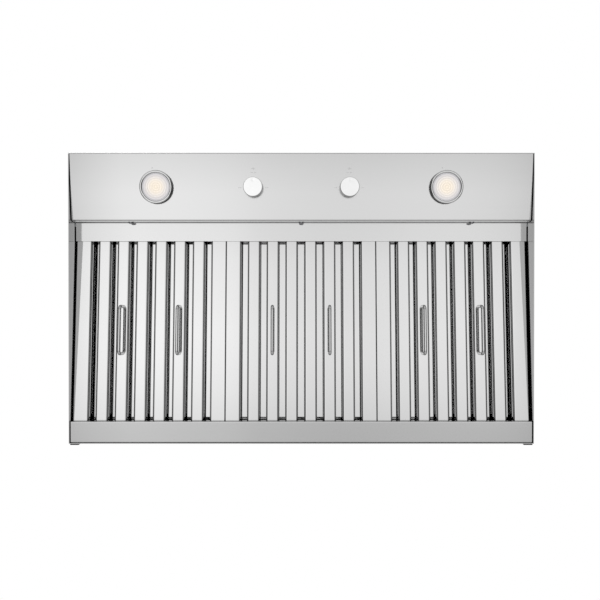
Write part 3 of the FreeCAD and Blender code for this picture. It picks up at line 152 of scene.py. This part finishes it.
def brushed(name, colour, grain, roughness, depth=0.00002, swing=0.05, patch=0.02, painted_shade=()):
    """Brushed sheet: fine streaks along one axis, soft patches, and a little wear in both.
    Each darkening is an axis, a place where the sheet's colour is at its darkest, one where it isn't
    darkened,
    and how much darker it gets: painted shade, a fall of light painted into the colour."""
    paint = Paint(name, colour, metallic=1.0, roughness=roughness)
    across, lengthwise, broad_lengthwise, broader = 1400.0, 9.0, 2.0, 0.12
    scale = [across, across, across]
    scale["XYZ".index(grain)] = lengthwise
    streaks = paint.noise(paint.mapped(scale), 1.0, 4.0, 0.65)
    broad = list(scale)
    broad["XYZ".index(grain)] = broad_lengthwise
    bands = paint.noise(paint.mapped([item * broader for item in broad]), 1.0, 2.0)
    clouds = paint.noise(paint.mapped((5.0, 7.0, 6.0)), 1.0, 3.0)
    mixed = paint.maths("MULTIPLY_ADD", streaks, 0.6, paint.maths("MULTIPLY", bands, 0.4))
    tone = paint.maths("MULTIPLY_ADD", clouds, 0.45, paint.maths("MULTIPLY", mixed, 0.55))
    half = 0.2           # half the range of tones over which the colour runs from dark to light
    # painted shade: the colour is darkened along each given axis toward its darkest place
    if painted_shade:
        where = paint.add("ShaderNodeSeparateXYZ")
        paint.link(paint.place, where.inputs["Vector"])
        for axis, darkest, undarkened, amount in painted_shade:
            painted_dark = paint.spread(where.outputs[axis], -amount / patch * half, 0.0, darkest, undarkened)
            tone = paint.maths("ADD", tone, painted_dark)
        low = 1 - sum(item[3] for item in painted_shade) - patch
        tone = paint.spread(tone, 0.0, 1.0, 0.5 - (1 - low) / patch * half, 0.7)
        paint.tinted(tone, shade(colour, low), shade(colour, 1 + patch), 0.0, 1.0)
    else:
        paint.tinted(tone, shade(colour, 1 - patch), shade(colour, 1 + patch))
    wear = paint.spread(clouds, -swing / 2, swing / 2, 0.35, 0.65)
    grained = paint.spread(mixed, roughness - swing, roughness + swing, 0.3, 0.7)
    paint.rough(paint.maths("ADD", grained, wear))
    paint.bumped(mixed, depth, 0.5)
    return paint.material


def zinc(name, colour, roughness, cell=55.0):
    """Galvanised sheet: a dull spangle of crystals with fine scratches."""
    paint = Paint(name, colour, metallic=1.0, roughness=roughness)
    spangle = paint.add("ShaderNodeTexVoronoi")
    spangle.inputs["Scale"].default_value = cell
    paint.link(paint.place, spangle.inputs["Vector"])
    grey = paint.add("ShaderNodeRGBToBW")
    paint.link(spangle.outputs["Color"], grey.inputs["Color"])
    scratch = paint.noise(paint.mapped((40.0, 700.0, 700.0)), 1.0, 3.0, 0.6)
    mixed = paint.maths("MULTIPLY_ADD", grey.outputs["Val"], 0.7, paint.maths("MULTIPLY", scratch, 0.3))
    paint.tinted(mixed, shade(colour, 0.86), shade(colour, 1.08), 0.2, 0.8)
    paint.rough(paint.spread(mixed, roughness - 0.08, roughness + 0.12, 0.2, 0.8))
    paint.bumped(scratch, 0.00003, 0.4)
    return paint.material


def moulded(name, colour, roughness, pebble=900.0, depth=0.00004, gloss=0.5):
    """Moulded plastic or rubber: a fine pebbled skin with slightly dusty patches."""
    paint = Paint(name, colour, roughness=roughness, Specular_IOR_Level=gloss)
    skin = paint.noise(paint.place, pebble, 3.0)
    dust = paint.noise(paint.place, 30.0, 4.0, 0.6)
    paint.tinted(dust, shade(colour, 0.85), tuple(min(1.0, c * 1.15 + 0.012) for c in colour))
    paint.rough(paint.spread(dust, roughness - 0.08, roughness + 0.08, 0.3, 0.7))
    paint.bumped(skin, depth, 0.6)
    return paint.material


def satin(name, colour, roughness):
    """Polished metal with very fine turning marks."""
    paint = Paint(name, colour, metallic=1.0, roughness=roughness)
    marks = paint.noise(paint.mapped((1200.0, 1200.0, 1200.0)), 1.0, 2.0)
    smears = paint.noise(paint.place, 60.0, 3.0)
    paint.tinted(smears, shade(colour, 0.96), shade(colour, 1.02))
    paint.rough(paint.spread(marks, roughness - 0.03, roughness + 0.05, 0.3, 0.7))
    paint.bumped(marks, 0.00001, 0.3)
    return paint.material


def enamel(name, colour, roughness):
    """Sprayed enamel with a light orange peel and dust on it."""
    paint = Paint(name, colour, roughness=roughness, Coat_Weight=0.3, Coat_Roughness=0.25)
    peel = paint.noise(paint.place, 420.0, 2.0)
    dust = paint.noise(paint.place, 22.0, 5.0, 0.6)
    paint.tinted(dust, colour, tuple(c + 0.03 for c in colour), 0.4, 0.75)
    paint.rough(paint.spread(dust, roughness - 0.05, roughness + 0.12, 0.35, 0.75))
    paint.bumped(peel, 0.00006, 0.4)
    return paint.material


def lens_glass(name, centre):
    """Frosted lens that glows as a lamp: a warm middle and a greyer rim, the grey being painted shade under
    the trim ring, with moulded rings.
    """
    paint = Paint(name, (0.86, 0.80, 0.72), roughness=0.28, IOR=1.5, Emission_Strength=0.52)
    away = paint.add("ShaderNodeVectorMath", operation="DISTANCE")
    paint.link(paint.place, away.inputs[0])
    away.inputs[1].default_value = centre
    radius = paint.maths("DIVIDE", away.outputs["Value"], LENS_RADIUS)
    waves = paint.maths("SINE", paint.maths("MULTIPLY", radius, 40.0))
    # painted shade: the colour, and with it the lamp's glow, turns grey toward the rim under the trim ring
    tone = paint.ramp(radius, [(0.0, (0.93, 0.82, 0.68)), (0.40, (0.92, 0.83, 0.72)),
                               (0.62, (0.84, 0.79, 0.75)), (0.85, (0.66, 0.64, 0.65)),
                               (1.0, (0.50, 0.50, 0.52))])
    darker = paint.add("ShaderNodeMix", data_type="RGBA", blend_type="MULTIPLY")
    darker.inputs["Factor"].default_value = 1.0
    paint.link(tone, darker.inputs["A"])
    paint.link(paint.ramp(waves, [(0.0, (0.84, 0.84, 0.84)), (1.0, (1, 1, 1))]), darker.inputs["B"])
    paint.link(darker.outputs["Result"], paint.shader.inputs["Base Color"])
    paint.link(darker.outputs["Result"], paint.shader.inputs["Emission Color"])
    grain = paint.noise(paint.place, 900.0, 2.0)
    paint.rough(paint.spread(grain, 0.2, 0.4))
    paint.bumped(waves, 0.0002, 0.6)
    return paint.material


# ---------------------------------------------------------------- materials on the CAD nodes

STEEL = (0.56, 0.56, 0.56)
ZINC = (0.58, 0.60, 0.61)

# painted shade: the panel steel is painted darker toward the front edge and the left end, and the shell steel
# toward the left end
panel_steel = brushed("panel steel", shade(STEEL, 1.02), "X", 0.18, depth=0.000004, swing=0.02,
                      painted_shade=(("Y", FRONT, FRONT + 0.075, 0.10), ("X", -0.44, -0.34, 0.08)))
shell_steel = brushed("shell steel", STEEL, "X", 0.10, depth=0.000004, swing=0.02,
                      painted_shade=(("X", -0.44, -0.32, 0.05),))
# painted shade: the side walls' steel is a darker copy of the same sheet, for the shade on the walls
side_wall_shade_steel = brushed("side wall steel painted shade", shade(STEEL, 0.84), "Y", 0.08, depth=0.000004, swing=0.02)
filter_steel = brushed("filter steel", shade(STEEL, 1.08), "Y", 0.05, depth=0.000003, swing=0.015)
bezel_steel = satin("bezel steel", (0.58, 0.58, 0.58), 0.10)
wire_steel = satin("handle wire steel", (0.60, 0.60, 0.60), 0.08)
screw_steel = satin("screw steel", (0.56, 0.56, 0.57), 0.28)
rail_screw_steel = satin("rail screw steel", (0.27, 0.27, 0.28), 0.24)
box_zinc = zinc("blower box zinc", ZINC, 0.42)
deck_zinc = zinc("deck zinc", shade(ZINC, 1.04), 0.40, 48.0)
scroll_zinc = zinc("scroll zinc", shade(ZINC, 0.96), 0.38, 70.0)
housing_metal = satin("lamp housing aluminium", (0.66, 0.67, 0.68), 0.40)
rubber = moulded("black rubber", (0.016, 0.016, 0.017), 0.65, gloss=0.22)
switch_plastic = moulded("switch plastic", (0.035, 0.035, 0.037), 0.45, 700.0)
driver_plastic = moulded("driver plastic", (0.74, 0.74, 0.72), 0.40, 700.0)
motor_enamel = enamel("motor enamel", (0.035, 0.036, 0.040), 0.38)

COVERS = {
    panel_steel: ("control_panel",),
    shell_steel: ("front_wall", "rear_wall", "front_filter_rail", "grease_trough"),
    side_wall_shade_steel: ("left_side_wall", "right_side_wall"),
    filter_steel: tuple("%s_filter_%s" % (side, part) for side in SIDES
                        for part in ("frame", "lower_baffles", "upper_baffles")),
    wire_steel: tuple("%s_filter_handles" % side for side in SIDES),
    rail_screw_steel: ("rail_screws",),
    screw_steel: ("sheet_metal_screws", "switch_nuts", "lamp_spring_clips", "damper_pins",
                  "fan_shaft", "light_shaft", "motor_shaft"),
    box_zinc: ("blower_box", "duct_collar", "front_damper_flap", "rear_damper_flap",
               "control_box_cover", "junction_box", "junction_box_cover", "capacitor_clip"),
    deck_zinc: ("top_deck",),
    scroll_zinc: ("scroll_wrapper", "left_scroll_side", "right_scroll_side", "left_inlet_ring",
                  "right_inlet_ring", "blower_outlet_flange", "blower_wheel", "motor_bracket"),
    housing_metal: ("left_lamp_housing", "right_lamp_housing", "run_capacitor"),
    rubber: ("rear_corner_pads", "wire_grommet", "control_cable"),
    switch_plastic: ("fan_switch", "light_switch"),
    driver_plastic: ("led_driver",),
    motor_enamel: ("blower_motor",),
}


def dress(node, material):
    for holder in frame["nodes"][node].material_slots:
        holder.material = material


for material, names in COVERS.items():
    for name in names:
        dress(name, material)


# ---------------------------------------------------------------- pieces in mesh code

def seat(place, side):
    """The panel's own axes at a place on its lower face: x, down the slope, and up through the sheet.
    The side is -1 on the left and 1 on the right."""
    out, back, rise = place
    return (Matrix.Translation((side * out, FRONT + back, RIM + rise))
            @ Matrix.Rotation(PANEL_SLOPE, 4, "X"))


def arc(centre, radius, start, end, steps=6):
    """Points of a profile along a circle's arc, with the angles in degrees."""
    turns = [math.radians(start + (end - start) * step / steps) for step in range(steps + 1)]
    return [(centre[0] + radius * math.cos(turn), centre[1] + radius * math.sin(turn)) for turn in turns]


def piece(name, mesh, matrix, body, materials, replaced=()):
    """Puts a finished mesh into the scene, with its place in its vertices."""
    data = bpy.data.meshes.new(name)
    bmesh.ops.transform(mesh, matrix=matrix, verts=mesh.verts)
    bmesh.ops.recalc_face_normals(mesh, faces=mesh.faces)
    for face in mesh.faces:
        face.smooth = True
    mesh.to_mesh(data)
    mesh.free()
    data.set_sharp_from_angle(angle=math.radians(25))
    for material in materials:
        data.materials.append(material)
    made = bpy.data.objects.new(name, data)
    bpy.context.scene.collection.objects.link(made)
    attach(made, body)
    if replaced:
        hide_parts(*replaced)
    return made


def lathe(points, steps=96, dark=()):
    """A turned solid about the local Z axis from (radius, height) in millimetres.
    Runs of the profile whose number is in dark get the second material."""
    mesh = bmesh.new()
    rows = []
    for radius, height in points:
        if radius < 1e-6:
            rows.append([mesh.verts.new((0, 0, height / 1000))] * steps)
            continue
        turns = [2 * math.pi * step / steps for step in range(steps)]
        rows.append([mesh.verts.new((radius * math.cos(turn) / 1000, radius * math.sin(turn) / 1000,
                                     height / 1000)) for turn in turns])
    for number, (row, after) in enumerate(zip(rows, rows[1:])):
        for step in range(steps):
            ahead = (step + 1) % steps
            corners = [row[step], row[ahead], after[ahead], after[step]]
            corners = [corner for place, corner in enumerate(corners) if corner not in corners[:place]]
            if len(corners) > 2:
                face = mesh.faces.new(corners)
                face.material_index = 1 if number in dark else 0
    return mesh


def turned_metal(name, colour, roughness, centre, pitch=0.00045):
    """Turned metal: fine circles about the middle, which catch the light."""
    paint = Paint(name, colour, metallic=1.0, roughness=roughness)
    away = paint.add("ShaderNodeVectorMath", operation="DISTANCE")
    paint.link(paint.place, away.inputs[0])
    away.inputs[1].default_value = centre
    circles = paint.maths("SINE", paint.maths("MULTIPLY", away.outputs["Value"], 2 * math.pi / pitch))
    smears = paint.noise(paint.place, 60.0, 3.0)
    mixed = paint.maths("MULTIPLY_ADD", circles, 0.15, smears)
    paint.tinted(mixed, shade(colour, 0.95), shade(colour, 1.02))
    paint.rough(paint.spread(mixed, roughness - 0.03, roughness + 0.05, 0.3, 0.7))
    paint.bumped(circles, 0.000002, 0.3)
    return paint.material


def lamps():
    """Trim rings whose outer side and the bevel at their bore are painted dark as shade, and lenses with
    moulded rings in front of the diodes.
    """
    # painted shade: a dark rubber-like colour on the trim ring's outer side and bore bevel stands in for the
    # shade there
    trim_shade = moulded("lamp trim painted shade", (0.030, 0.030, 0.031), 0.55)
    ring = [(27.2, 8.0), (27.2, -1.4), (26.6, -1.4), (26.6, -5.2), (26.8, -5.8), (27.8, -6.4),
            (28.0, -6.5), (29.3, -6.5), (29.5, -6.4), (30.7, -5.7), (31.05, -5.3), (31.05, -0.1),
            (31.05, 0.0), (28.2, 0.0), (28.2, 8.0), (27.2, 8.0)]
    shaded_runs = (3, 9, 10, 11)
    glass = [(0.0, 0.8), (27.15, 0.8), (27.15, -1.35), (26.45, -1.35), (26.45, -4.3), (25.6, -4.9)]
    face, dome, ripple, pace = -5.75, 0.85, 0.10, 2.1
    for step in range(50, -1, -1):
        radius = step / 2
        glass.append((radius, face + dome * (radius / 25) ** 2 - ripple * math.cos(radius * pace)))
    for side, sign in (("left", -1), ("right", 1)):
        at = seat(LAMP, sign)
        piece(side + "_lamp_trim_ring", lathe(ring, 128, shaded_runs), at, "hood", (bezel_steel, trim_shade),
              (side + "_lamp_bezel",))
        lens = lens_glass(side + " lamp lens", at @ Vector((0, 0, -0.0055)))
        piece(side + "_lamp_ringed_lens", lathe(glass, 96), at, "hood", (lens,), (side + "_lamp_lens",))


def knobs():
    """Solid knobs: a turned face with a shallow dimple at the top, and a side painted as a darker satin copy
    of the face's metal, for shade.
    """
    low = -14.3
    points = [(0.0, low)] + [(radius / 2, low) for radius in range(1, 34)]
    points += arc((17.0, low + 1.0), 1.0, -90, 0, 5)
    points += [(18.0, -0.8), (12.0, -0.8), (12.0, -6.8), (3.05, -6.8), (3.05, -12.0), (0.0, -12.0)]
    dimple_away, dimple_radius, dimple_depth = 0.0122, 0.0030, 0.00022
    for name, sign in (("fan", -1), ("light", 1)):
        at = seat(KNOB, sign)
        face = turned_metal(name + " knob face", (0.77, 0.77, 0.77), 0.20, at.translation)
        # painted shade: the knob's side is a darker copy of the face's metal
        shade_flank = satin(name + " knob painted shade side", (0.36, 0.36, 0.36), 0.25)
        mesh = lathe(points, 96, range(37, 44))
        for vert in mesh.verts:
            if vert.co.z < (low + 0.01) / 1000:
                away = math.hypot(vert.co.x, vert.co.y + dimple_away) / dimple_radius
                vert.co.z += dimple_depth * max(0.0, 1 - away ** 2)
        piece(name + "_turned_knob", mesh, at, name + "_knob", (face, shade_flank), (name + "_knob",))


def strip(mesh, corners):
    """Adds a thin print on the panel's lower face from its corners in millimetres."""
    thick, sunk = 0.05 / 1000, 0.00002
    low = [mesh.verts.new((x / 1000, y / 1000, -thick)) for x, y in corners]
    high = [mesh.verts.new((x / 1000, y / 1000, sunk)) for x, y in corners]
    mesh.faces.new(low)
    mesh.faces.new(high[::-1])
    for number in range(len(corners)):
        after = (number + 1) % len(corners)
        mesh.faces.new((low[number], high[number], high[after], low[after]))


def marks():
    """Etched marks round the knobs, and a small one beside each lamp: dots and short lines only."""
    etched = satin("etched mark", (0.57, 0.57, 0.57), 0.40)

    def dot(x, y, radius):
        return [(x + radius * math.cos(turn * math.pi / 8), y + radius * math.sin(turn * math.pi / 8))
                for turn in range(16)]

    def bar(x, y, wide, tall):
        return [(x - wide, y - tall), (x + wide, y - tall), (x + wide, y + tall), (x - wide, y + tall)]

    knob = [dot(0, -35.5, 2.1), bar(-3.2, -35.5, 0.7, 0.7), bar(3.2, -35.5, 0.7, 0.7),
            bar(-2.8, -28, 2.0, 0.7), bar(2.8, -28, 2.0, 0.7), bar(-25.5, 0, 3.0, 0.45),
            bar(25.5, 0, 3.0, 0.45)]
    lamp = [dot(-7.7, -36.0, 1.3)]
    for name, place, sign, shapes in (("fan_knob_marks", KNOB, -1, knob), ("light_knob_marks", KNOB, 1, knob),
                                      ("left_lamp_mark", LAMP, -1, lamp), ("right_lamp_mark", LAMP, 1, lamp)):
        mesh = bmesh.new()
        for shape in shapes:
            strip(mesh, shape)
        piece(name, mesh, seat(place, sign), "hood", (etched,))


def front_hem():
    """The rounded lower edge of the front wall, where its sheet is folded back."""
    mesh = bmesh.new()
    reach, radius, steps, proud = 0.4396, 0.8, 10, 0.00002
    ends = []
    for x in (-reach, reach):
        ends.append([mesh.verts.new((x, y / 1000, z / 1000))
                     for y, z in arc((0, 0), radius, 0, -180, steps)])
    for number in range(steps):
        mesh.faces.new((ends[0][number], ends[0][number + 1], ends[1][number + 1], ends[1][number]))
    mesh.faces.new(ends[0][::-1])
    mesh.faces.new(ends[1])
    mesh.faces.new((ends[0][0], ends[1][0], ends[1][-1], ends[0][-1]))
    at = Matrix.Translation((0, FRONT + 0.00081, RIM + proud))
    piece("front_wall_hem", mesh, at, "hood", (shell_steel,))


def filter_frames():
    """The filters' frames, whose slots run on nearly to both ends of the filter.
    The slots' end edges lie in a band of heights over the lowest point and of distances from the ends."""
    lowest, highest = 0.00075, 0.0085
    nearest, furthest = 0.0075, 0.0151
    longer = 0.0066
    for side in SIDES:
        name = side + "_filter_frame"
        mesh = bmesh.new()
        mesh.from_mesh(frame["nodes"][name].data)
        flat = Matrix.Rotation(FILTER_SLOPE, 4, "X")
        mesh.transform(flat)
        low = min(vert.co.z for vert in mesh.verts)
        near = min(vert.co.y for vert in mesh.verts)
        far = max(vert.co.y for vert in mesh.verts)
        for vert in mesh.verts:
            if lowest < vert.co.z - low < highest:
                if nearest < vert.co.y - near < furthest:
                    vert.co.y -= longer
                elif nearest < far - vert.co.y < furthest:
                    vert.co.y += longer
        piece(side + "_filter_slotted_frame", mesh, flat.inverted(), side + "_filter", (filter_steel,),
              (name,))


lamps()
knobs()
marks()
front_hem()
filter_frames()


# ---------------------------------------------------------------- floor, world, lights and camera

def floor():
    """A pale floor under the hood. It is seen from above only, so that a view from below looks through it."""
    mesh = bpy.data.meshes.new("floor")
    reach = 60.0
    corners = [(-reach, -reach, 0), (reach, -reach, 0), (reach, reach, 0), (-reach, reach, 0)]
    mesh.from_pydata(corners, [], [(0, 1, 2, 3)])
    plane = bpy.data.objects.new("floor", mesh)
    bpy.context.scene.collection.objects.link(plane)
    paint = Paint("floor paint", (0.80, 0.80, 0.80), roughness=0.9)
    grain = paint.noise(paint.place, 12.0, 3.0)
    paint.tinted(grain, (0.79, 0.79, 0.79), (0.81, 0.81, 0.81))
    through = paint.add("ShaderNodeBsdfTransparent")
    side = paint.add("ShaderNodeNewGeometry")
    mix = paint.add("ShaderNodeMixShader")
    paint.link(side.outputs["Backfacing"], mix.inputs["Fac"])
    paint.link(paint.shader.outputs["BSDF"], mix.inputs[1])
    paint.link(through.outputs["BSDF"], mix.inputs[2])
    paint.link(mix.outputs["Shader"], paint.tree.nodes["Material Output"].inputs["Surface"])
    mesh.materials.append(paint.material)
    for kind in ("diffuse", "glossy", "transmission", "volume_scatter", "shadow"):
        setattr(plane, "visible_" + kind, False)


def world():
    """A white studio: bright above, and below it a soft fall of light with a dark flag at either side."""
    made = bpy.data.worlds.new("studio")
    bpy.context.scene.world = made
    made.use_nodes = True
    tree = made.node_tree
    where = tree.nodes.new("ShaderNodeTexCoord")
    split = tree.nodes.new("ShaderNodeSeparateXYZ")
    tree.links.new(where.outputs["Generated"], split.inputs["Vector"])

    def ramp(source, stops, low=-1.0, high=1.0):
        spread = tree.nodes.new("ShaderNodeMapRange")
        spread.inputs["From Min"].default_value = low
        spread.inputs["From Max"].default_value = high
        tree.links.new(source, spread.inputs["Value"])
        band = tree.nodes.new("ShaderNodeValToRGB")
        while len(band.color_ramp.elements) < len(stops):
            band.color_ramp.elements.new(0.5)
        for element, (place, level) in zip(band.color_ramp.elements, stops):
            element.position = place
            element.color = (level, level, level, 1.0)
        tree.links.new(spread.outputs["Result"], band.inputs["Fac"])
        return band.outputs["Color"]

    def blend(rule, factor, first, second):
        mix = tree.nodes.new("ShaderNodeMix")
        mix.data_type = "RGBA"
        mix.blend_type = rule
        if isinstance(factor, float):
            mix.inputs["Factor"].default_value = factor
        else:
            tree.links.new(factor, mix.inputs["Factor"])
        tree.links.new(first, mix.inputs["A"])
        tree.links.new(second, mix.inputs["B"])
        return mix.outputs["Result"]

    across = ramp(split.outputs["X"], [
        (0.0, 0.38), (0.06, 0.12), (0.17, 0.10), (0.22, 0.45), (0.26, 0.98), (0.295, 1.36), (0.335, 1.49),
        (0.38, 1.44), (0.43, 1.39), (0.455, 1.28), (0.50, 1.22), (0.53, 1.19), (0.58, 1.21), (0.62, 1.25),
        (0.67, 1.26), (0.705, 1.19), (0.74, 0.88), (0.78, 0.40), (0.83, 0.10), (0.94, 0.12), (1.0, 0.38)])
    along = ramp(split.outputs["Y"], [
        (0.0, 0.65), (0.15, 0.60), (0.28, 0.68), (0.388, 0.90), (0.407, 0.955), (0.43, 0.98), (0.48, 1.01),
        (0.51, 0.99), (0.54, 0.945), (0.585, 0.82), (0.625, 0.65), (0.66, 0.62), (0.75, 0.55), (1.0, 0.65)])
    aside = ramp(split.outputs["Y"], [(0.0, 1.0), (0.19, 1.0), (0.30, 0.0), (0.70, 0.0), (0.81, 1.0),
                                      (1.0, 1.0)])
    below = blend("MIX", aside, blend("MULTIPLY", 1.0, across, along),
                  ramp(split.outputs["Y"], [(0.0, 0.66), (1.0, 0.62)]))
    above = ramp(split.outputs["Z"], [(0.0, 0.70), (0.4, 0.80), (0.7, 1.0), (1.0, 1.0)], 0.0, 1.0)
    upper = ramp(split.outputs["Z"], [(0.0, 0.0), (0.45, 0.0), (0.55, 1.0), (1.0, 1.0)])
    tree.links.new(blend("MIX", upper, below, above), tree.nodes["Background"].inputs["Color"])
    tree.nodes["Background"].inputs["Strength"].default_value = 1.0


def softbox(name, at, aim, wide, power):
    """An area light above the floor, turned toward the object."""
    light = bpy.data.lights.new(name, "AREA")
    light.shape = "RECTANGLE"
    light.size = wide
    light.size_y = wide * 0.7
    light.energy = power
    lamp = bpy.data.objects.new(name, light)
    bpy.context.scene.collection.objects.link(lamp)
    lamp.location = at
    lamp.rotation_euler = (Vector(aim) - Vector(at)).to_track_quat("-Z", "Y").to_euler()
    lamp.visible_camera = False


def camera():
    """The camera of the photograph: under the hood, looking almost straight up."""
    lens = bpy.data.cameras.new("camera")
    lens.sensor_width = 36.0
    lens.lens = 28.60
    lens.clip_start = 0.02
    holder = bpy.data.objects.new("camera", lens)
    bpy.context.scene.collection.objects.link(holder)
    below, tilt = 0.9002, 0.0062
    holder.location = (-0.0025, -0.0042, RIM - below)
    holder.rotation_euler = (math.pi - tilt, 0, 0)
    bpy.context.scene.camera = holder


floor()
world()
softbox("key", (-1.6, -1.9, 2.2), (0, 0, 0.15), 1.6, 30.0)
softbox("fill", (2.0, 1.2, 1.8), (0, 0, 0.15), 1.8, 12.0)
camera()
bpy.context.scene.view_settings.view_transform = "Standard"
